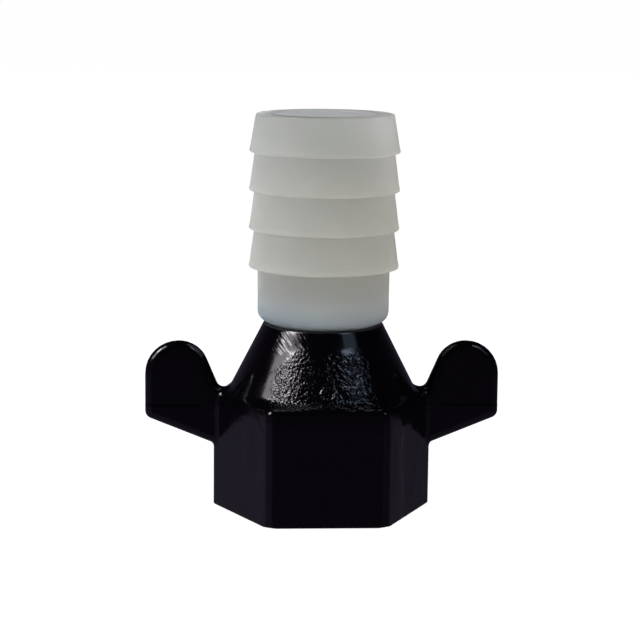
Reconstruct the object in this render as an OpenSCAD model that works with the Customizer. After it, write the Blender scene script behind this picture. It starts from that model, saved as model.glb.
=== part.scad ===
// Swivel hose fitting: a barbed tailpiece snapped into a wing nut, with a flat seal inside.
// Sizes are in millimetres. The origin is the centre of the nut's bottom face, +Z runs up
// the hose barb, and the two wings point along +X and -X.

/* [Hexagon] */
// Depth of the hexagon over its front and back flats
hex_depth = 28.2; // [27.4:0.1:30]
// Width of the hexagon over the two corners that carry the wings
hex_width = 31.1; // [31:0.1:33]
// Width of the front flat and the back flat
hex_front_w = 16.4; // [16:0.1:17]
// Radius of the six upright edges
hex_edge_r = 1.5; // [0.4:0.1:2]
// Height of the mould line, where the hexagon steps in a little
mould_line_z = 14.5; // [12:0.1:15]
// Height of the hexagon's top
hex_top_z = 16.5; // [15.8:0.1:16.5]
// How far each flat steps in above the mould line
mould_step = 0.1; // [0.05:0.05:0.2]

/* [Cone] */
// Outer radius of the cone's foot
cone_foot_r = 13.3; // [12.9:0.1:13.4]
// Height of the nut's top lip
nut_h = 26.2; // [25:0.1:26.3]
// Outer radius of the top lip
lip_r = 8.35; // [8.2:0.05:9]

/* [Wings] */
// Distance over the tips of the two wings
wing_span = 50; // [48.5:0.5:60]
// Thickness of a wing at the mould line
wing_t = 2.9; // [2.6:0.1:4]
// Thickness of a wing at its highest point
wing_top_t = 2.4; // [1.2:0.1:2.6]
// Height of a wing's highest point
wing_top_z = 23.55; // [22:0.05:26]
// Height of the dip between a wing and the cone
wing_dip_z = 16.85; // [16.6:0.05:18]
// Height where a wing's lower edge leaves the hexagon
wing_root_z = 8.95; // [6:0.05:10]
// Height of a wing's lower outer corner
wing_tip_z = 12.8; // [11:0.1:14]

/* [Thread and seal] */
// Radius at the crests of the 1/2-14 straight pipe thread
thread_crest_r = 9.5; // [9.3:0.05:9.7]
// Radius of the mouth's chamfer at the bottom face
mouth_r = 10.6; // [10:0.1:11]
// Height of the mouth's chamfer
mouth_h = 0.9; // [0.5:0.1:1.5]
// Height where the thread ends
thread_top_z = 10.9; // [8:0.1:11]
// Radius of the recess that holds the seal washer
recess_r = 10.1; // [10:0.05:10.4]
// Outer radius of the seal washer
seal_r = 9.85; // [9.6:0.05:9.9]
// Thickness of the seal washer
seal_t = 2; // [1.5:0.1:2]

/* [Swivel] */
// Radius of the tailpiece's neck
neck_r = 7.2; // [6.6:0.05:7.4]
// Radial gap between the neck and the nut
neck_gap = 0.2; // [0.1:0.05:0.4]
// Radius of the snap bead that keeps the neck in the nut
bead_r = 8.15; // [7.8:0.05:8.4]
// Height of the snap bead's widest part
bead_z = 20; // [19:0.1:20.2]
// How far the tailpiece can lift inside the nut
float_travel = 1.5; // [0.5:0.1:1.5]

/* [Hose barb] */
// Radius of the barbs at their tips, for 19 mm hose
barb_r = 10.5; // [9.5:0.1:11.5]
// Number of barbs
barb_count = 4; // [2:1:6]
// Distance from one barb to the next
barb_pitch = 5.36; // [4.5:0.02:5.5]
// Height of the lowest barb's tip
first_barb_z = 34.32; // [34:0.02:35]
// Depth of each barb's step
barb_step = 0.72; // [0.4:0.02:1]
// Radius of the top rim
rim_r = 9.6; // [9.2:0.1:10]
// Length of the lead-in above the highest barb
lead_in_h = 5.1; // [3:0.1:6]
// Radius of the collar under the barbs
collar_r = 9.25; // [9:0.05:9.4]
// Height of the collar's lower face
collar_z = 26.4; // [26.4:0.05:26.6]
// Radius of the waterway inside the barbs
barb_bore_r = 7.2; // [6.5:0.1:7.6]
// Radius of the waterway inside the neck
neck_bore_r = 5.2; // [4.5:0.1:5.4]

/* [Hidden] */

$fn = 64;
arc_steps = 8;         // straight steps in each rounded corner
past = 1;              // how far a cutter runs past the face it opens

// Nut
hex_side_angle = atan2(hex_depth, hex_width - hex_front_w);  // of the four slanting flats

// Wings
wing_reach = wing_span / 2;
wing_inner_r = 10.6;   // where a wing's outline starts, inside the solid of the nut
wing_lobe_w = 7.56;    // width of a wing's lobe, from its flank to its tip
wing_flank_angle = 67; // slope of the flank that faces the cone
wing_outer_r = 4.7;    // round of the lobe towards the tip
wing_crest_flat = 0.1;
wing_low_r = 1.2;      // round of the lower outer corner
wing_dip_r = 1.2;      // round at the foot of the flank
wing_low_t = 2.5;      // thickness at the lower edge
wing_flank_x = wing_reach - wing_lobe_w;
wing_dip_x = wing_flank_x - (wing_top_z - wing_dip_z) / tan(wing_flank_angle);
wing_inner_round = (wing_lobe_w - wing_outer_r - wing_crest_flat) / tan(wing_flank_angle / 2);
wing_under_slope = (wing_tip_z - wing_root_z) / (wing_reach - hex_width / 2);

// Nut's inside
land_r = neck_r + neck_gap;
shoulder_h = 0.5;                         // rise of the shoulder that stops the bead
shoulder_z = bead_z + float_travel;
shoulder_r = 8.9;
land_z = shoulder_z + shoulder_h;         // foot of the land that the neck turns in
recess_top_z = 17;

// Tailpiece
seal_play = 0.2;                          // gap under and over the seal at rest
seal_z = thread_top_z + seal_play;
seal_hole_r = 6.4;
seat_z = seal_z + seal_t + seal_play;     // end face that presses on the seal
seat_r = 6.9;
nose_r = 6.2;                             // nose that centres the seal
nose_h = 1.1;
nose_z = seat_z - nose_h;
bead_foot_z = 16.8;
bead_flat_h = 0.4;
bead_lock_h = 0.3;
tip_land_h = 0.4;                         // short cylinder at each barb's tip
step_draft = 8;                           // slope of each barb's step, in degrees
collar_edge_r = 1.5;
collar_draft = 0.05;
barb_top_z = first_barb_z + (barb_count - 1) * barb_pitch + lead_in_h;
funnel_low_z = 26.5;                      // waterway narrows between these heights
funnel_high_z = 30;
bore_draft = 0.2;

// Direction from one point to another, one unit long.
function toward(a, b) = (b - a) / norm(b - a);

// The arc that rounds one corner. Each corner is [x, y, radius].
function rounded_corner(before, corner, after) =
    let (
        point = [corner[0], corner[1]],
        back = toward(point, [before[0], before[1]]),
        ahead = toward(point, [after[0], after[1]]),
        half = acos(back * ahead) / 2,
        centre = point + toward([0, 0], back + ahead) * corner[2] / sin(half),
        from = point + back * corner[2] / tan(half) - centre,
        turn = sign(back[1] * ahead[0] - back[0] * ahead[1]) * (180 - 2 * half),
        start = atan2(from[1], from[0])
    )
    corner[2] == 0
        ? [point]
        : [for (i = [0 : arc_steps])
            centre + corner[2] * [
                cos(start + turn * i / arc_steps),
                sin(start + turn * i / arc_steps)
            ]];

// A closed outline with every corner rounded by its own radius.
function rounded_outline(corners) =
    let (n = len(corners))
    [for (i = [0 : n - 1])
        each rounded_corner(corners[(i + n - 1) % n], corners[i], corners[(i + 1) % n])];

// The hexagon with rounded edges, all six flats moved in by the same amount.
module hex_prism(inset, height) {
    side_x = hex_width / 2 - inset / sin(hex_side_angle);
    front_x = hex_front_w / 2 - inset * tan(hex_side_angle / 2);
    front_y = hex_depth / 2 - inset;
    linear_extrude(height = height) polygon(rounded_outline([
        [side_x, 0, hex_edge_r],
        [front_x, front_y, hex_edge_r],
        [-front_x, front_y, hex_edge_r],
        [-side_x, 0, hex_edge_r],
        [-front_x, -front_y, hex_edge_r],
        [front_x, -front_y, hex_edge_r]
    ]));
}

// The wing's outline in the plane of the two wings: distance from the axis, height, radius.
module wing_outline() {
    start_z = wing_root_z - (hex_width / 2 - wing_inner_r) * wing_under_slope;
    polygon(rounded_outline([
        [wing_inner_r, start_z, 0],
        [wing_reach, wing_tip_z, wing_low_r],
        [wing_reach, wing_top_z, wing_outer_r],
        [wing_flank_x, wing_top_z, wing_inner_round],
        [wing_dip_x, wing_dip_z, wing_dip_r],
        [wing_inner_r, wing_dip_z, 0]
    ]));
}

// The wing's section across its thickness: widest at the mould line, with draft both ways.
module wing_section() {
    polygon([
        [-wing_low_t / 2, 0],
        [wing_low_t / 2, 0],
        [wing_t / 2, mould_line_z],
        [wing_top_t / 2, wing_top_z + past],
        [-wing_top_t / 2, wing_top_z + past],
        [-wing_t / 2, mould_line_z]
    ]);
}

module wing() {
    intersection() {
        rotate([90, 0, 0])
            linear_extrude(height = 2 * wing_t, center = true) wing_outline();
        rotate([90, 0, 90]) linear_extrude(height = wing_reach + past) wing_section();
    }
}

// The nut's inside, from the thread's mouth up to the land that the neck turns in.
module nut_cavity() {
    rotate_extrude() polygon([
        [0, -past],
        [mouth_r, -past],
        [mouth_r, 0],
        [thread_crest_r, mouth_h],
        [thread_crest_r, thread_top_z],
        [recess_r, thread_top_z],
        [recess_r, recess_top_z],
        [shoulder_r, shoulder_z],
        [land_r, land_z],
        [land_r, nut_h + past],
        [0, nut_h + past]
    ]);
}

module wing_nut() {
    color([0.03, 0.025, 0.035]) difference() {
        union() {
            hex_prism(0, mould_line_z);
            hex_prism(mould_step, hex_top_z);
            translate([0, 0, hex_top_z - past])
                cylinder(h = past, r = cone_foot_r);
            translate([0, 0, hex_top_z])
                cylinder(h = nut_h - hex_top_z, r1 = cone_foot_r, r2 = lip_r);
            wing();
            mirror([1, 0, 0]) wing();
        }
        nut_cavity();
    }
}

// One barb's points, from the root under its step up to the top of its tip.
function barb_points(tip_z, root_r) = [
    [root_r, tip_z - tip_land_h / 2 - (barb_r - root_r) * tan(step_draft)],
    [barb_r, tip_z - tip_land_h / 2],
    [barb_r, tip_z + tip_land_h / 2]
];

// Half of the tailpiece's outline, from the nose up to the rim.
module tailpiece_outside() {
    collar_top_z = first_barb_z - tip_land_h;
    collar_edge = rounded_corner(
        [neck_r, collar_z],
        [collar_r - collar_draft, collar_z, collar_edge_r],
        [collar_r, collar_top_z]
    );
    polygon(concat(
        [[0, nose_z], [nose_r, nose_z], [nose_r, seat_z], [seat_r, seat_z],
         [seat_r, bead_foot_z], [bead_r, bead_z - bead_flat_h], [bead_r, bead_z],
         [neck_r, bead_z + bead_lock_h], [neck_r, collar_z]],
        collar_edge,
        [for (i = [0 : barb_count - 1])
            each barb_points(
                first_barb_z + i * barb_pitch,
                i == 0 ? collar_r : barb_r - barb_step
            )],
        [[rim_r, barb_top_z], [0, barb_top_z]]
    ));
}

module waterway() {
    polygon([
        [0, nose_z - past],
        [neck_bore_r, nose_z - past],
        [neck_bore_r, funnel_low_z],
        [barb_bore_r - bore_draft, funnel_high_z],
        [barb_bore_r, barb_top_z + past],
        [0, barb_top_z + past]
    ]);
}

module hose_barb() {
    color([0.66, 0.68, 0.63]) rotate_extrude() difference() {
        tailpiece_outside();
        waterway();
    }
}

module seal_washer() {
    color([0.08, 0.08, 0.08]) translate([0, 0, seal_z]) difference() {
        cylinder(h = seal_t, r = seal_r);
        translate([0, 0, -past]) cylinder(h = seal_t + 2 * past, r = seal_hole_r);
    }
}

wing_nut();
hose_barb();
seal_washer();
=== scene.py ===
"""Looks for a swivel hose fitting: a black wing nut, a natural nylon hose barb and a rubber seal.

Shapes are worked out in millimetres, in the CAD frame, and go into Blender in metres.
"""
import math

import bpy
import numpy as np
from mathutils import Matrix, Vector


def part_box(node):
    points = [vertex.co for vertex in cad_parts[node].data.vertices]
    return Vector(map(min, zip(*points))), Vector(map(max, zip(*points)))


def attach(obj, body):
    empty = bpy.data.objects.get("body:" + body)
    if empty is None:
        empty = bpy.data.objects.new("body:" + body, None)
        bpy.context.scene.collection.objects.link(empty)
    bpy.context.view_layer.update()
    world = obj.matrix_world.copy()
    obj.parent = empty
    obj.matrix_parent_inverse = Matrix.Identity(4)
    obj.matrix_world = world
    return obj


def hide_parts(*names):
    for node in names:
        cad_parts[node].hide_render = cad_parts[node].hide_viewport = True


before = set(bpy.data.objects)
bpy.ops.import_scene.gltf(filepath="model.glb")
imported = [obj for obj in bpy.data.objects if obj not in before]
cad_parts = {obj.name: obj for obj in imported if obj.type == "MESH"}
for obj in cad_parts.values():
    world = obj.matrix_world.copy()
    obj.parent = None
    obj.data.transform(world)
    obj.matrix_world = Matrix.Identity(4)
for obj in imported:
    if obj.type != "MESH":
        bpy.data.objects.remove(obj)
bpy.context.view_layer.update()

MM = 0.001  # one millimetre in metres
LONGEST_SPAN = 0.6  # longest straight span in a turned outline, in millimetres


def box_mm(node):
    """Lowest and highest corner of a CAD node, in millimetres."""
    low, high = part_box(node)
    return np.array(low) / MM, np.array(high) / MM


nut_low, nut_high = box_mm("wing_nut")
barb_low, barb_high = box_mm("hose_barb")
seal_low, seal_high = box_mm("seal_washer")


# ---------------------------------------------------------------- outlines and meshes

def rounded_outline(corners, steps=8):
    """A closed outline from corners (x, y, radius), each one rounded by an arc of its radius."""
    points = []
    for i, (x, y, radius) in enumerate(corners):
        corner = np.array([x, y])
        back = np.array(corners[i - 1][:2]) - corner
        ahead = np.array(corners[(i + 1) % len(corners)][:2]) - corner
        back = back / np.linalg.norm(back)
        ahead = ahead / np.linalg.norm(ahead)
        if radius == 0:
            points.append(corner)
            continue
        half = math.acos(np.clip(back @ ahead, -1, 1)) / 2
        middle = (back + ahead) / np.linalg.norm(back + ahead)
        centre = corner + middle * radius / math.sin(half)
        start = corner + back * radius / math.tan(half) - centre
        turn = math.copysign(math.pi - 2 * half, back[1] * ahead[0] - back[0] * ahead[1])
        for angle in np.linspace(0, turn, steps + 1):
            c, s = math.cos(angle), math.sin(angle)
            points.append(centre + np.array([c * start[0] - s * start[1], s * start[0] + c * start[1]]))
    return np.array(points)


def with_spans_cut(outline, longest):
    """The same closed outline with no straight span over the given length."""
    points = []
    for a, b in zip(outline, np.roll(outline, -1, axis=0)):
        count = max(1, math.ceil(np.linalg.norm(b - a) / longest))
        points += [a + (b - a) * i / count for i in range(count)]
    return np.array(points)


def smooth_mesh(name, points, faces, normals=None):
    """A smooth-shaded mesh object from points in millimetres. Normals are weighted by face area."""
    mesh = bpy.data.meshes.new(name)
    mesh.vertices.add(len(points))
    mesh.vertices.foreach_set("co", (points * MM).astype(np.float32).ravel())
    mesh.loops.add(faces.size)
    mesh.loops.foreach_set("vertex_index", faces.ravel().astype(np.int32))
    mesh.polygons.add(len(faces))
    width = faces.shape[1]
    mesh.polygons.foreach_set("loop_start", np.arange(0, faces.size, width, dtype=np.int32))
    mesh.update(calc_edges=True)
    mesh.validate()
    mesh.polygons.foreach_set("use_smooth", np.ones(len(mesh.polygons), bool))
    if normals is None:
        normals = area_normals(points, faces)
    mesh.normals_split_custom_set_from_vertices(normals.tolist())
    piece = bpy.data.objects.new(name, mesh)
    bpy.context.scene.collection.objects.link(piece)
    return piece


def area_normals(points, faces):
    """A normal at each point, the sum of its faces' normals weighted by their areas."""
    across = points[faces[:, 2]] - points[faces[:, 0]]
    along = points[faces[:, 3]] - points[faces[:, 1]]
    area = np.cross(across, along)
    total = np.zeros_like(points)
    for corner in range(4):
        np.add.at(total, faces[:, corner], area)
    return total / np.maximum(np.linalg.norm(total, axis=1, keepdims=True), 1e-12)


def turned_piece(name, outline, segments, seam=0.0):
    """A solid of revolution about Z from a closed outline of (radius, height), anticlockwise.
    Two mould seams of the given height run up it at +X and -X."""
    angles = np.arange(segments) * 2 * math.pi / segments
    count = len(outline)
    radius = np.tile(outline[:, 0], (segments, 1))
    outward = np.roll(outline, -1, axis=0) - np.roll(outline, 1, axis=0)
    outward = np.tile(outward[:, 1] > 0, (segments, 1))
    on_seam = np.abs(np.sin(angles)) < 1e-6
    radius = radius + seam * outward * on_seam[:, None]
    x = radius * np.cos(angles)[:, None]
    y = radius * np.sin(angles)[:, None]
    z = np.tile(outline[:, 1], (segments, 1))
    points = np.stack([x, y, z], axis=-1).reshape(-1, 3)
    i, j = np.meshgrid(np.arange(segments), np.arange(count), indexing="ij")
    i_next, j_next = (i + 1) % segments, (j + 1) % count
    faces = np.stack(
        [i * count + j, i_next * count + j, i_next * count + j_next, i * count + j_next], axis=-1
    ).reshape(-1, 4)
    return smooth_mesh(name, points, faces)


# ---------------------------------------------------------------- distance fields, in millimetres

def round_union(a, b, radius):
    """Joins two solids with a fillet of the given radius."""
    ua, ub = np.maximum(radius - a, 0), np.maximum(radius - b, 0)
    return np.maximum(radius, np.minimum(a, b)) - np.sqrt(ua * ua + ub * ub)


def round_cut(a, b, radius):
    """What two solids share, with its edges rounded to the given radius."""
    ua, ub = np.maximum(radius + a, 0), np.maximum(radius + b, 0)
    return np.minimum(-radius, np.maximum(a, b)) + np.sqrt(ua * ua + ub * ub)


def hexagon(x, y, edge_r):
    """Distance to the nut's hexagon, with its upright edges rounded."""
    side_x = HEX_CORNER_X - edge_r / math.sin(HEX_SIDE_ANGLE)
    front_x = HEX_FRONT_HALF - edge_r * math.tan(HEX_SIDE_ANGLE / 2)
    front_y = HEX_FRONT_Y - edge_r
    px, py = np.abs(x) + 0 * y, np.abs(y) + 0 * x
    # distance to a quarter of the outline: the front flat's half, then one slanting flat
    along_x, along_y = side_x - front_x, -front_y
    wx, wy = px - front_x, py - front_y
    share = np.clip((wx * along_x + wy * along_y) / (along_x ** 2 + along_y ** 2), 0, 1)
    to_slant = np.hypot(wx - along_x * share, wy - along_y * share)
    to_front = np.hypot(np.maximum(wx, 0), wy)
    outside = np.maximum(wy, wx * math.sin(HEX_SIDE_ANGLE) + wy * math.cos(HEX_SIDE_ANGLE))
    return np.minimum(to_slant, to_front) * np.sign(outside) - edge_r


def cone_side(rho, z, r0, z0, r1, z1):
    """Distance to an endless cone through two (radius, height) points, negative inside."""
    slope = (r1 - r0) / (z1 - z0)
    return (rho - r0 - slope * (z - z0)) / math.hypot(1, slope)


def outline_distance(x, z, outline):
    """Distance to a closed outline in a plane, negative inside."""
    nearest = None
    inside = False
    for (ax, az), (bx, bz) in zip(outline, np.roll(outline, -1, axis=0)):
        ex, ez = bx - ax, bz - az
        wx, wz = x - ax, z - az
        t = np.clip((wx * ex + wz * ez) / (ex * ex + ez * ez), 0, 1)
        gap = (wx - ex * t) ** 2 + (wz - ez * t) ** 2
        nearest = gap if nearest is None else np.minimum(nearest, gap)
        crosses = (az > z) != (bz > z)
        side = wx < ex * wz / (ez if ez else 1.0)
        inside = inside ^ (crosses & side)
    return np.where(inside, -1, 1) * np.sqrt(nearest)


# ---------------------------------------------------------------- the wing nut's shape

HEX_FRONT_Y = nut_high[1]       # the front and back flats' distance from the axis
HEX_FRONT_HALF = 8.2            # half their width
HEX_CORNER_X = 15.55            # the corners that carry the wings, before rounding
HEX_SIDE_ANGLE = math.atan2(HEX_FRONT_Y, HEX_CORNER_X - HEX_FRONT_HALF)
HEX_EDGE_R = 1.5        # rounding of the upright edges
MOULD_Z = 14.5          # mould line round the hexagon and the wings
HEX_TOP_Z = 16.5
HEX_TOP_R = 1.0
HEX_TOP_DRAFT = 0.07    # slope of the hexagon's sides above the mould line
BOTTOM_R = 0.12
BOTTOM_TURN_R = 15.6    # outside this radius the bottom face rises a little, at the corners
BOTTOM_TURN_SLOPE = 0.4
NUT_TOP_Z = nut_high[2]
CONE_FOOT_R = 13.3
LIP_R = 8.35
LIP_EDGE_R = 0.2
CONE_FILLET = 0.9
CONE_SUNK = 3           # how far the cone runs down into the hexagon
GATE_Z = 18.3           # height of the gate mark, in the middle of the cone's front
GATE_R = 0.8
GATE_PIT = 0.22         # depth of the pit in it
GATE_RING_GAP = 0.1     # from the pit to the middle of the ring round it
GATE_RING_R = 0.13      # half the ring's thickness
SMALL_R = 0.1           # rounding where small features meet the body
MOUTH_EDGE_R = 0.15     # rounding between the outside and the inside

WING_REACH = nut_high[0]
WING_TOP_Z = 23.55
WING_DIP_Z = 16.85
WING_ROOT_Z = 8.95
WING_TIP_Z = 12.8
WING_START_R = 10.6
WING_LOBE_W = 7.56
WING_OUTER_R = 4.7
WING_FLANK = math.radians(67)
WING_HALF_T = 1.45      # at the mould line
WING_TOP_HALF_T = 1.2
WING_LOW_HALF_T = 1.25
WING_RIM_R = 1.1
WING_CORNER_R = 1.2     # rounding of the outline's tip and dip
WING_STEP = 0.1         # how far the mould's upper half stands back
WING_STEP_START = 16.5  # distance from the axis where that step begins
WING_STEP_RUN = 1.5     # and over which it grows to its full depth
WING_FILLET = 0.6

THREAD_PITCH = 25.4 / 14
THREAD_CREST_R = 9.5
THREAD_ROOT_R = 10.6
THREAD_TOP_Z = seal_low[2] - 0.2
THREAD_FADE = 1.2       # height over which the thread runs out at its top
THREAD_SCALE = 0.6      # keeps the threaded wall's field no steeper than a distance
MOUTH_R = 10.6
MOUTH_H = 0.9
RECESS_R = 10.1
RECESS_EDGE_R = 0.2
RECESS_TOP_Z = 17.0
SHOULDER_R = 8.9
SHOULDER_Z = 21.5
LAND_R = 7.4
LAND_Z = 22.0


def wing_outline():
    """The right wing's outline: distance from the axis and height."""
    slope = (WING_TIP_Z - WING_ROOT_Z) / (WING_REACH - HEX_CORNER_X)
    flank_x = WING_REACH - WING_LOBE_W
    dip_x = flank_x - (WING_TOP_Z - WING_DIP_Z) / math.tan(WING_FLANK)
    inner_r = (WING_LOBE_W - WING_OUTER_R - 0.1) / math.tan(WING_FLANK / 2)
    return rounded_outline([
        (WING_START_R, WING_ROOT_Z - (HEX_CORNER_X - WING_START_R) * slope, 0),
        (WING_REACH, WING_TIP_Z, WING_CORNER_R),
        (WING_REACH, WING_TOP_Z, WING_OUTER_R),
        (flank_x, WING_TOP_Z, inner_r),
        (dip_x, WING_DIP_Z, WING_CORNER_R),
        (WING_START_R, WING_DIP_Z, 0),
    ])


WING_OUTLINE = wing_outline()


def wing_distance(x, y, z):
    """The two wings: widest at the mould line, with draft both ways and rounded rims."""
    above = np.clip((z - MOULD_Z) / (WING_TOP_Z - MOULD_Z), 0, 1)
    below = np.clip((MOULD_Z - z) / (MOULD_Z - WING_ROOT_Z), 0, 1)
    half = WING_HALF_T + above * (WING_TOP_HALF_T - WING_HALF_T) + below * (WING_LOW_HALF_T - WING_HALF_T)
    step = WING_STEP * np.clip((np.abs(x) - WING_STEP_START) / WING_STEP_RUN, 0, 1)
    half = half - step * (z > MOULD_Z)
    return round_cut(outline_distance(np.abs(x), z, WING_OUTLINE), np.abs(y) - half, WING_RIM_R)


def gate_mark(x, y, z):
    """Where the sprue was cut off the cone: a raised ring, and the shallow pit inside it."""
    slope = (LIP_R - CONE_FOOT_R) / (NUT_TOP_Z - HEX_TOP_Z)
    radius = CONE_FOOT_R + slope * (GATE_Z - HEX_TOP_Z)
    tilt = math.atan(-slope)
    dy, dz = y + radius, z - GATE_Z
    rise = dz * math.sin(tilt) - dy * math.cos(tilt)
    gap = np.sqrt(np.maximum(x * x + dy * dy + dz * dz - rise * rise, 0))
    ring = np.sqrt((gap - GATE_R - GATE_RING_GAP) ** 2 + rise * rise) - GATE_RING_R
    pit = np.maximum(gap - GATE_R, np.abs(rise) - GATE_PIT)
    return ring, pit


def nut_outside(x, y, z, rho):
    """Hexagon, cone and wings as one moulding."""
    sides = hexagon(x, y, HEX_EDGE_R) + HEX_TOP_DRAFT * np.maximum(z - MOULD_Z, 0)
    foot = np.maximum(-z, (rho - BOTTOM_TURN_R) * BOTTOM_TURN_SLOPE - z)
    block = round_cut(round_cut(sides, z - HEX_TOP_Z, HEX_TOP_R), foot, BOTTOM_R)
    cone = cone_side(rho, z, CONE_FOOT_R, HEX_TOP_Z, LIP_R, NUT_TOP_Z)
    cone = round_cut(np.maximum(cone, HEX_TOP_Z - CONE_SUNK - z), z - NUT_TOP_Z, LIP_EDGE_R)
    body = round_cut(round_union(block, cone, CONE_FILLET), sides, SMALL_R)
    ring, pit = gate_mark(x, y, z)
    body = round_cut(round_union(body, ring, SMALL_R), -pit, SMALL_R)
    return round_union(body, wing_distance(x, y, z), WING_FILLET)


def thread_wall(z, turn):
    """Radius of the threaded wall: a 60 degree pipe thread cut into the crest's radius."""
    phase = z / THREAD_PITCH - turn
    from_groove = np.abs(phase - np.round(phase)) * THREAD_PITCH
    middle = (THREAD_CREST_R + THREAD_ROOT_R) / 2
    wall = middle + math.sqrt(3) * (THREAD_PITCH / 4 - from_groove)
    wall = np.clip(wall, THREAD_CREST_R, THREAD_ROOT_R)
    run_out = np.clip((THREAD_TOP_Z - z) / THREAD_FADE, 0, 1)
    return THREAD_CREST_R + (wall - THREAD_CREST_R) * run_out


def nut_inside(x, y, z, rho):
    """The space inside the nut: threaded mouth, seal recess, shoulder and the neck's land."""
    turn = np.arctan2(y, x) / (2 * math.pi)
    threaded = np.maximum((rho - thread_wall(z, turn)) * THREAD_SCALE, z - THREAD_TOP_Z - 0.1)
    mouth = cone_side(rho, z, MOUTH_R, 0, THREAD_CREST_R, MOUTH_H)
    mouth = np.maximum(mouth, z - MOUTH_H)
    recess = round_cut(rho - RECESS_R, THREAD_TOP_Z - z, RECESS_EDGE_R)
    recess = np.maximum(recess, cone_side(rho, z, RECESS_R, RECESS_TOP_Z, SHOULDER_R, SHOULDER_Z))
    shoulder = cone_side(rho, z, SHOULDER_R, SHOULDER_Z, LAND_R, LAND_Z)
    recess = round_cut(recess, shoulder, RECESS_EDGE_R)
    land = rho - LAND_R
    return np.minimum(np.minimum(threaded, mouth), np.minimum(recess, land))


def nut_distance(x, y, z):
    """The whole wing nut."""
    rho = np.sqrt(x * x + y * y)
    return round_cut(nut_outside(x, y, z, rho), -nut_inside(x, y, z, rho), MOUTH_EDGE_R)


# ---------------------------------------------------------------- a mesh from a distance field

def net_from_field(distance, low, high, step):
    """Quads over the zero surface of a distance field, by surface nets: one point in each cell
    that the surface passes through, and one face over each grid edge that it crosses."""
    axes = [np.arange(low[i] - 1.5 * step, high[i] + 1.6 * step, step) for i in range(3)]
    field = distance(axes[0][:, None, None], axes[1][None, :, None], axes[2][None, None, :])
    field = np.ascontiguousarray(field, dtype=np.float32)
    inside = field < 0
    cells = tuple(n - 1 for n in field.shape)
    total = np.zeros(cells + (3,), np.float32)
    hits = np.zeros(cells, np.uint8)
    crossed = []
    for axis in range(3):
        first = [slice(None)] * 3
        second = [slice(None)] * 3
        first[axis] = slice(0, -1)
        second[axis] = slice(1, None)
        a, b = field[tuple(first)], field[tuple(second)]
        edges = np.argwhere(inside[tuple(first)] != inside[tuple(second)])
        at = tuple(edges.T)
        share = a[at] / (a[at] - b[at])
        place = edges.astype(np.float32)
        place[:, axis] += share
        others = [i for i in range(3) if i != axis]
        crossed.append((axis, others, edges, inside[tuple(first)][at]))
        for du in (0, 1):
            for dv in (0, 1):
                cell = edges.copy()
                cell[:, others[0]] -= du
                cell[:, others[1]] -= dv
                np.add.at(total, tuple(cell.T), place)
                np.add.at(hits, tuple(cell.T), 1)
    used = np.argwhere(hits > 0)
    number = np.full(cells, -1, np.int64)
    number[tuple(used.T)] = np.arange(len(used))
    points = total[tuple(used.T)] / hits[tuple(used.T)][:, None]
    points = points.astype(float) * step + np.array([a[0] for a in axes])
    faces = []
    for axis, (u, v), edges, starts_inside in crossed:
        ring = []
        for du, dv in ((0, 0), (1, 0), (1, 1), (0, 1)):
            cell = edges.copy()
            cell[:, u] -= du
            cell[:, v] -= dv
            ring.append(number[tuple(cell.T)])
        ring = np.stack(ring, axis=1)
        flip = starts_inside if axis == 1 else ~starts_inside
        ring[flip] = ring[flip][:, ::-1]
        faces.append(ring)
    return points, np.concatenate(faces)


def field_slope(distance, points, reach=0.02):
    """The field's gradient at each point."""
    slope = np.zeros_like(points)
    for axis in range(3):
        shift = np.zeros(3)
        shift[axis] = reach
        more, less = points + shift, points - shift
        slope[:, axis] = (distance(*more.T) - distance(*less.T)) / (2 * reach)
    return slope


def pulled_to_surface(distance, points, rounds):
    """The points, moved onto the field's zero surface."""
    for _ in range(rounds):
        slope = field_slope(distance, points)
        steep = np.maximum((slope * slope).sum(1), 0.05)
        move = -distance(*points.T)[:, None] * slope / steep[:, None]
        length = np.linalg.norm(move, axis=1, keepdims=True)
        points = points + move * np.minimum(1, 0.1 / np.maximum(length, 1e-9))
    return points


def evened(points, faces, amount):
    """The points, each moved part of the way to the middle of its neighbours."""
    total = np.zeros_like(points)
    count = np.zeros(len(points))
    for a, b in ((0, 1), (1, 2), (2, 3), (3, 0)):
        np.add.at(total, faces[:, a], points[faces[:, b]])
        np.add.at(count, faces[:, a], 1)
    return points + amount * (total / np.maximum(count, 1)[:, None] - points)


def make_wing_nut():
    """The nut's visible mesh, with its thread."""
    step = 0.2
    points, faces = net_from_field(nut_distance, nut_low, nut_high, step)
    for _ in range(2):
        points = evened(points, faces, 0.5)
        points = pulled_to_surface(nut_distance, points, 2)
    points = np.clip(points, nut_low, nut_high)
    piece = smooth_mesh("wing_nut_moulding", points, faces)
    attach(piece, "wing_nut")
    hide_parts("wing_nut")
    return piece


# ---------------------------------------------------------------- the hose barb and the seal

BARB_R = barb_high[0]
BARB_COUNT = 4
BARB_PITCH = 5.36
FIRST_BARB_Z = 34.32
BARB_STEP = 0.72        # how far each barb stands out over the one above
BARB_UNDER_SLOPE = math.tan(math.radians(8))
RIM_R = 9.6
RIM_Z = barb_high[2]
COLLAR_R = 9.25
COLLAR_FOOT_R = 9.2
COLLAR_Z = 26.4
NECK_R = 7.2
BEAD_R = 8.15
BEAD_Z = 20.0
BEAD_LEAD_Z = 16.8      # where the slope up to the bead begins
SEAT_R = 6.9
SEAT_Z = 13.3
NOSE_R = 6.2
NOSE_Z = barb_low[2]
NECK_BORE_R = 5.2
BARB_BORE_R = 7.2
FUNNEL_LOW_Z = 26.5     # the waterway widens from here
FUNNEL_HIGH_Z = 30.0
FUNNEL_HIGH_R = 7.0


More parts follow.
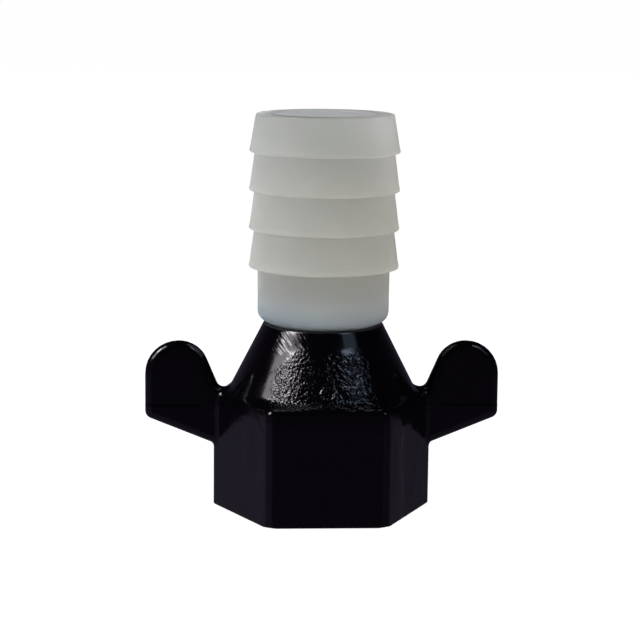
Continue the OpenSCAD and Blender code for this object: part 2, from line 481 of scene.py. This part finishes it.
def make_hose_barb():
    """The tailpiece: four barbs, collar, neck, snap bead and nose, turned about the axis."""
    corners = [
        (NECK_BORE_R, NOSE_Z, 0.15),
        (NOSE_R, NOSE_Z, 0.2),
        (NOSE_R, SEAT_Z, 0.1),
        (SEAT_R, SEAT_Z, 0.15),
        (SEAT_R, BEAD_LEAD_Z, 0.5),
        (BEAD_R, BEAD_Z - 0.4, 0.2),
        (BEAD_R, BEAD_Z, 0.12),
        (NECK_R, BEAD_Z + 0.3, 0.15),
        (NECK_R, COLLAR_Z, 0.1),
        (COLLAR_FOOT_R, COLLAR_Z, 1.5),
    ]
    for i in range(BARB_COUNT):
        tip = FIRST_BARB_Z + BARB_PITCH * i
        under = COLLAR_R if i == 0 else BARB_R - BARB_STEP
        corners += [
            (under, tip - 0.2 - (BARB_R - under) * BARB_UNDER_SLOPE, 0.12),
            (BARB_R, tip - 0.2, 0.14),
            (BARB_R, tip + 0.15, 0.2),
            (BARB_R - 0.12, tip + 0.6, 0.3),
        ]
    corners += [
        (RIM_R, RIM_Z, 0.3),
        (BARB_BORE_R, RIM_Z, 0.25),
        (FUNNEL_HIGH_R, FUNNEL_HIGH_Z, 3.0),
        (NECK_BORE_R, FUNNEL_LOW_Z, 2.0),
    ]
    outline = with_spans_cut(rounded_outline(corners, steps=5), LONGEST_SPAN)
    piece = turned_piece("hose_barb_moulding", outline, 240, seam=0.03)
    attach(piece, "hose_barb")
    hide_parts("hose_barb")
    return piece


def make_seal():
    """The flat rubber washer, with softly rounded edges."""
    outer = seal_high[0]
    hole = 6.4
    round_r = 0.3
    outline = rounded_outline([
        (hole, seal_low[2], round_r),
        (outer, seal_low[2], round_r),
        (outer, seal_high[2], round_r),
        (hole, seal_high[2], round_r),
    ], steps=5)
    piece = turned_piece("seal_ring", with_spans_cut(outline, LONGEST_SPAN), 180)
    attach(piece, "seal_washer")
    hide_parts("seal_washer")
    return piece


nut = make_wing_nut()
barb = make_hose_barb()
seal = make_seal()


# ---------------------------------------------------------------- materials

class Nodes:
    """A short way to add nodes to one material."""

    def __init__(self, name):
        self.material = bpy.data.materials.new(name)
        self.material.use_nodes = True
        self.tree = self.material.node_tree
        self.shader = self.tree.nodes["Principled BSDF"]
        self.place = self.add("ShaderNodeTexCoord").outputs["Object"]

    def add(self, kind, inputs=None, **settings):
        node = self.tree.nodes.new(kind)
        for key, value in settings.items():
            setattr(node, key, value)
        for key, value in (inputs or {}).items():
            self.put(node, key, value)
        return node

    def put(self, node, key, value):
        if isinstance(value, bpy.types.NodeSocket):
            self.tree.links.new(value, node.inputs[key])
        else:
            node.inputs[key].default_value = value

    def set(self, **inputs):
        for key, value in inputs.items():
            self.put(self.shader, key.replace("_", " "), value)

    def grain(self, lengths, turn=0.0):
        """The surface's place, for a pattern this many times longer along X, Y and Z, after the
        three are turned about Y by an angle in degrees."""
        node = self.add("ShaderNodeMapping", {
            "Vector": self.place, "Scale": lengths, "Rotation": (0, math.radians(turn), 0),
        }, vector_type="TEXTURE")
        return node.outputs["Vector"]

    def noise(self, scale, detail=2.0, roughness=0.5, place=None, distortion=0.0):
        return self.add("ShaderNodeTexNoise", {
            "Vector": place or self.place, "Scale": scale, "Detail": detail,
            "Roughness": roughness, "Distortion": distortion,
        }).outputs["Fac"]

    def ramp(self, value, low, high, out_low=0.0, out_high=1.0):
        return self.add("ShaderNodeMapRange", {
            "Value": value, "From Min": low, "From Max": high,
            "To Min": out_low, "To Max": out_high,
        }, interpolation_type="SMOOTHSTEP").outputs["Result"]

    def maths(self, operation, a, b=0.0, c=None):
        node = self.add("ShaderNodeMath", {0: a, 1: b}, operation=operation)
        if c is not None:
            self.put(node, 2, c)
        return node.outputs[0]

    def blend(self, share, a, b):
        node = self.add("ShaderNodeMix", data_type="RGBA")
        self.put(node, 0, share)
        self.put(node, 6, a)
        self.put(node, 7, b)
        return node.outputs[2]

    def bump(self, height, distance, strength=1.0, normal=None):
        node = self.add("ShaderNodeBump", {
            "Height": height, "Distance": distance, "Strength": strength,
        })
        if normal is not None:
            self.put(node, "Normal", normal)
        return node.outputs["Normal"]


def black_nylon():
    """Glossy black moulding. Lengths here are in metres, as everywhere in the materials."""
    m = Nodes("black_nylon")
    split = m.add("ShaderNodeSeparateXYZ", {"Vector": m.place})
    x, y, height = split.outputs
    wander = m.ramp(m.noise(260, 2.0), 0.3, 0.7, -1.0, 1.0)
    # the cone's front and back are rough between the smooth neck and the foot
    sideways = m.maths("DIVIDE", x, m.maths("ABSOLUTE", y))
    sideways = m.maths("MULTIPLY_ADD", wander, 0.06, sideways)
    middle = m.maths("MULTIPLY", m.ramp(sideways, -0.90, -0.66), m.ramp(sideways, 0.72, 0.50))
    rise = m.maths("MULTIPLY_ADD", wander, 0.0005, height)
    foot = m.ramp(height, 0.0160, 0.0166)
    # its upper edge falls away towards -X, and it stands a little proud of the smooth neck
    edge = m.maths("ADD", rise, m.ramp(sideways, -0.9, -0.4, 0.0024, 0.0))
    rough = m.maths("MULTIPLY", m.maths("MULTIPLY", middle, foot), m.ramp(edge, 0.0240, 0.0228))
    near = m.maths("MULTIPLY", m.ramp(sideways, -0.88, -0.50), m.ramp(sideways, 1.3, 0.9))
    swell = m.maths("MULTIPLY", m.ramp(edge, 0.0247, 0.0229), near)
    pebbles = m.noise(3300, 1.5, 0.5, m.grain((1.0, 1.0, 1.6), -50))
    creases = m.noise(1900, 1.0, 0.5, m.grain((1.0, 1.0, 2.2), -25), 0.5)
    skin = m.maths("SUBTRACT", m.maths("ADD", pebbles, creases), 1.0)
    # its +X side is coarser, with short slanting dents
    dents = m.maths("SUBTRACT", m.noise(1700, 1.0, 0.5, m.grain((1.7, 1.7, 1.0), 25), 0.6), 0.5)
    dents = m.maths("MULTIPLY", dents, 2.2)
    skin = m.add("ShaderNodeMix", {0: m.ramp(sideways, -0.05, 0.25), 2: skin, 3: dents})
    skin = m.maths("MULTIPLY", skin.outputs[0], rough)
    # slanting scratches just above the rough patch, on its -X side
    neck = m.maths("MULTIPLY", m.ramp(rise, 0.0226, 0.0238), m.ramp(height, 0.0261, 0.0256))
    left = m.maths("MULTIPLY", m.ramp(sideways, -1.25, -1.05), m.ramp(sideways, 0.15, -0.20))
    scratches = m.noise(3500, 1.5, 0.5, m.grain((1.0, 9.0, 9.0), -40))
    scratches = m.maths("SUBTRACT", scratches, 0.5)
    scratches = m.maths("MULTIPLY", scratches, m.maths("MULTIPLY", neck, left))
    # the tool's upright drag marks on the hexagon, fading in and out
    below = m.ramp(height, 0.0142, 0.0135)
    fade = m.maths("MULTIPLY", m.ramp(m.noise(180, 2.0), 0.40, 0.60), below)
    drag = m.noise(1800, 2.0, 0.6, m.grain((1.0, 1.0, 14.0)))
    drag = m.maths("MULTIPLY", drag, m.maths("MULTIPLY_ADD", fade, 0.85, 0.15))
    fine = m.noise(5000, 2.0, 0.5)
    normal = m.bump(swell, 0.00008, 1.0)
    normal = m.bump(drag, 0.00006, 0.8, normal)
    normal = m.bump(fine, 0.000003, 0.5, normal)
    normal = m.bump(scratches, 0.00013, 1.0, normal)
    normal = m.bump(skin, 0.00012, 1.0, normal)
    tone = m.blend(m.noise(300, 3.0, 0.6), (0.0008, 0.0005, 0.0012, 1), (0.0015, 0.0010, 0.0022, 1))
    gloss = m.ramp(m.noise(420, 3.0, 0.6), 0.3, 0.7, 0.10, 0.15)
    # the lip's top, under the collar, is duller
    lip = m.ramp(height, 0.02600, 0.02612)
    m.set(Base_Color=tone, Roughness=m.maths("MULTIPLY_ADD", lip, 0.5, gloss))
    m.set(IOR=1.5, Normal=normal)
    return m.material


def natural_nylon():
    """Milky, uncoloured moulding, which light travels through for a long way. Painted shade darkens its
    tone low down, at the collar's foot, in the bore and at the top.
    """
    m = Nodes("natural_nylon")
    split = m.add("ShaderNodeSeparateXYZ", {"Vector": m.place})
    x, y, height = split.outputs
    cloud = m.noise(130, 3.0, 0.55)
    tone = m.blend(m.ramp(cloud, 0.3, 0.7), (0.79, 0.765, 0.70, 1), (0.83, 0.805, 0.74, 1))
    # painted shade: darker and bluer towards the bottom, darkest at the collar's foot where it meets the
    # black nut, darker in the bore, and darker and a little greener at the top
    # painted shade low down and at the collar's foot, by height
    low = m.ramp(height, 0.038, 0.026)
    foot = m.ramp(height, 0.0325, 0.0262)
    from_axis = m.maths("SQRT", m.maths("MULTIPLY_ADD", x, x, m.maths("MULTIPLY", y, y)))
    # painted shade in the bore, by distance from the axis
    shaded_bore = m.ramp(from_axis, 0.0086, 0.0070)
    # painted shade at the top, darker and a little greener
    tone = m.blend(m.ramp(height, 0.044, 0.053), tone, (0.60, 0.64, 0.60, 1))
    tone = m.blend(low, tone, (0.56, 0.63, 0.71, 1))
    tone = m.blend(foot, tone, (0.23, 0.26, 0.32, 1))
    # the painted shade in the bore goes on here
    tone = m.blend(shaded_bore, tone, (0.50, 0.52, 0.54, 1))
    flow = m.noise(400, 2.0, 0.5, m.grain((1.0, 1.0, 4.0)))
    fine = m.noise(3500, 2.0, 0.5)
    normal = m.bump(flow, 0.00004, 0.5)
    normal = m.bump(fine, 0.000004, 0.5, normal)
    m.set(Base_Color=tone, Roughness=m.ramp(m.noise(500, 2.0), 0.3, 0.7, 0.36, 0.46))
    m.set(IOR=1.53, Normal=normal)
    m.set(Subsurface_Weight=1.0, Subsurface_Radius=(1.0, 1.0, 1.0))
    # light travels less far at the collar's foot and in the bore, where the painted shade in the tone
    # shows more
    short = m.maths("MAXIMUM", shaded_bore, foot)
    m.set(Subsurface_Scale=m.maths("MULTIPLY_ADD", short, -0.030, 0.045))
    return m.material


def black_rubber():
    """Dull black rubber."""
    m = Nodes("black_rubber")
    tone = m.blend(m.noise(700, 3.0, 0.6), (0.010, 0.010, 0.010, 1), (0.022, 0.021, 0.020, 1))
    m.set(Base_Color=tone, Roughness=m.ramp(m.noise(900, 2.0), 0.3, 0.7, 0.55, 0.75))
    m.set(IOR=1.5, Normal=m.bump(m.noise(3000, 3.0, 0.6), 0.00002, 0.5))
    return m.material


nut.data.materials.append(black_nylon())
barb.data.materials.append(natural_nylon())
seal.data.materials.append(black_rubber())


# ---------------------------------------------------------------- stage, lights and camera

def make_floor():
    """A pale floor that glows a little, so that it stays even out to the horizon."""
    size = 12.0
    mesh = bpy.data.meshes.new("floor")
    corners = [(-size, -size, 0), (size, -size, 0), (size, size, 0), (-size, size, 0)]
    mesh.from_pydata(corners, [], [(0, 1, 2, 3)])
    floor = bpy.data.objects.new("floor", mesh)
    bpy.context.scene.collection.objects.link(floor)
    floor.location.z = -0.0002
    floor.visible_diffuse = False
    floor.visible_glossy = False
    floor.visible_transmission = False
    floor.visible_shadow = False
    m = Nodes("pale_floor")
    m.set(Base_Color=(0.25, 0.25, 0.25, 1), Roughness=1.0, Specular_IOR_Level=0.0)
    m.set(Emission_Color=(1, 1, 1, 1), Emission_Strength=0.99)
    mesh.materials.append(m.material)


VIEW_YAW = math.radians(3.72)
VIEW_PITCH = math.radians(9.75)
VIEW_ROLL = math.radians(0.67)
VIEW_FROM = Vector((-18.82, -282.82, 75.16)) * MM


def make_camera():
    """A long lens, a little above the wings, looking down at the nut."""
    data = bpy.data.cameras.new("camera")
    data.lens = 114.87
    data.sensor_width = 36
    data.clip_start = 0.01
    data.clip_end = 50
    camera = bpy.data.objects.new("camera", data)
    bpy.context.scene.collection.objects.link(camera)
    turn = Matrix.Rotation(-VIEW_YAW, 4, "Z")
    tilt = Matrix.Rotation(math.pi / 2 - VIEW_PITCH, 4, "X")
    roll = Matrix.Rotation(VIEW_ROLL, 4, "Z")
    camera.matrix_world = Matrix.Translation(VIEW_FROM) @ turn @ tilt @ roll
    bpy.context.scene.camera = camera


def make_light(name, azimuth, elevation, distance, size, radiance, colour, mirrored=True, spread=True):
    """A soft box aimed at the object. Azimuth is in degrees to the right of the camera.
    A light that isn't mirrored lights the object and leaves no reflection in its gloss, and one
    that doesn't spread is seen only in reflections. Both suit this camera's view, and the object
    needs neither."""
    data = bpy.data.lights.new(name, "AREA")
    data.shape = "RECTANGLE"
    data.size, data.size_y = size
    data.color = colour
    data.energy = radiance * math.pi * size[0] * size[1]
    light = bpy.data.objects.new(name, data)
    bpy.context.scene.collection.objects.link(light)
    light.visible_camera = False
    light.visible_glossy = mirrored
    light.visible_diffuse = spread
    target = Vector((0, 0, 0.027))
    turn = math.radians(azimuth) - VIEW_YAW
    rise = math.radians(elevation)
    away = Vector((math.sin(turn) * math.cos(rise), -math.cos(turn) * math.cos(rise), math.sin(rise)))
    light.location = target + away * distance
    light.rotation_euler = (-away).to_track_quat("-Z", "Y").to_euler()


def make_world():
    """White where the camera looks past the floor. The object sees a dim room instead, darker
    in front than behind, to the right than to the left, and upwards than downwards."""
    world = bpy.data.worlds.new("studio")
    world.use_nodes = True
    tree = world.node_tree
    room = tree.nodes["Background"]
    room.inputs["Color"].default_value = (0.76, 0.66, 1.0, 1)
    place = tree.nodes.new("ShaderNodeTexCoord")
    split = tree.nodes.new("ShaderNodeSeparateXYZ")
    tree.links.new(place.outputs["Generated"], split.inputs[0])
    shares = []
    # each row: along this axis, from here, to here, the room goes from this strength to this
    for axis, *values in (
        ("X", 0.0, 0.9, 0.155, 0.072),
        ("Y", -0.97, -0.80, 0.30, 1.0),
        ("Z", -0.20, -0.06, 1.0, 0.4),
        ("Z", 0.0, 0.45, 1.0, 0.15),
    ):
        share = tree.nodes.new("ShaderNodeMapRange")
        share.interpolation_type = "SMOOTHSTEP"
        for socket, value in zip(("From Min", "From Max", "To Min", "To Max"), values):
            share.inputs[socket].default_value = value
        tree.links.new(split.outputs[axis], share.inputs["Value"])
        shares.append(share.outputs["Result"])
    strength = shares[0]
    for share in shares[1:]:
        product = tree.nodes.new("ShaderNodeMath")
        product.operation = "MULTIPLY"
        tree.links.new(strength, product.inputs[0])
        tree.links.new(share, product.inputs[1])
        strength = product.outputs[0]
    tree.links.new(strength, room.inputs["Strength"])
    white = tree.nodes.new("ShaderNodeBackground")
    path = tree.nodes.new("ShaderNodeLightPath")
    mix = tree.nodes.new("ShaderNodeMixShader")
    tree.links.new(path.outputs["Is Camera Ray"], mix.inputs[0])
    tree.links.new(room.outputs[0], mix.inputs[1])
    tree.links.new(white.outputs[0], mix.inputs[2])
    tree.links.new(mix.outputs[0], tree.nodes["World Output"].inputs["Surface"])
    white.inputs["Color"].default_value = (1, 1, 1, 1)
    bpy.context.scene.world = world


make_floor()
make_camera()
# name, azimuth, elevation, distance, size, radiance, colour
make_light("key_left", -71, 38, 0.5, (0.24, 0.34), 4.3, (0.98, 0.90, 1.0))
make_light("key_core", -73, 44, 0.48, (0.12, 0.11), 15.0, (1.0, 0.98, 0.98), spread=False)
make_light("card_right", 55, 36, 0.5, (0.18, 0.24), 0.70, (0.50, 0.72, 1.0))
make_light("card_core", 54, 49, 0.48, (0.14, 0.09), 3.0, (0.66, 0.78, 1.0))
for azimuth, radiance, colour in (
    (45, 2.0, (1.0, 0.96, 0.80)),
    (-45, 1.65, (0.93, 1.0, 0.83)),
    (135, 1.15, (0.98, 1.0, 0.88)),
    (-135, 1.95, (0.93, 1.0, 0.90)),
):
    for elevation in (5, -25):
        name = f"fill_{azimuth}_{elevation}"
        make_light(name, azimuth, elevation, 0.9, (0.7, 0.7), radiance, colour, mirrored=False)
make_light("fill_under", 0, -65, 0.9, (0.9, 0.7), 1.2, (1.0, 1.0, 0.98), mirrored=False)
make_world()
bpy.context.scene.view_settings.view_transform = "Standard"
